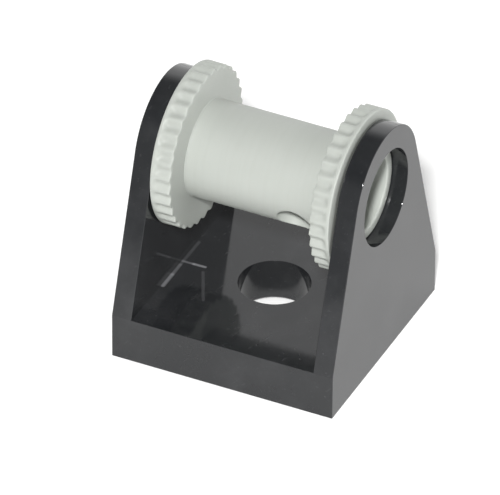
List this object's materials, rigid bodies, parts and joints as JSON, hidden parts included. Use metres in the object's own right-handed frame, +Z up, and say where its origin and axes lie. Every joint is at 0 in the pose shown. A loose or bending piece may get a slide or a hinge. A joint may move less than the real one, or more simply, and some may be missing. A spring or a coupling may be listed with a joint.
{
  "type": "string reel",
  "caption": "Small moulded string reel: a hollow drum with serrated flanges that snaps in and turns between the cheeks of a holder with a square stud-fit base.",
  "frame": {"origin": "centre of the base's underside, on the surface the part stands on", "axes": "+X along the drum's axis, +Y to the back, +Z up"},
  "size_m": [0.0158, 0.0158, 0.018],
  "materials": {
    "black_plastic": "glossy moulded black",
    "grey_plastic": "satin-gloss moulded light grey"
  },
  "bodies": {
    "holder_body": {"holder": "black_plastic"},
    "drum_body": {"drum": "grey_plastic"}
  },
  "joints": [
    {"name": "drum_spin", "type": "hinge", "parent": "holder_body", "child": "drum_body", "pos_m": [0, 0, 0.01245], "axis": [1, 0, 0], "continuous": true}
  ]
}
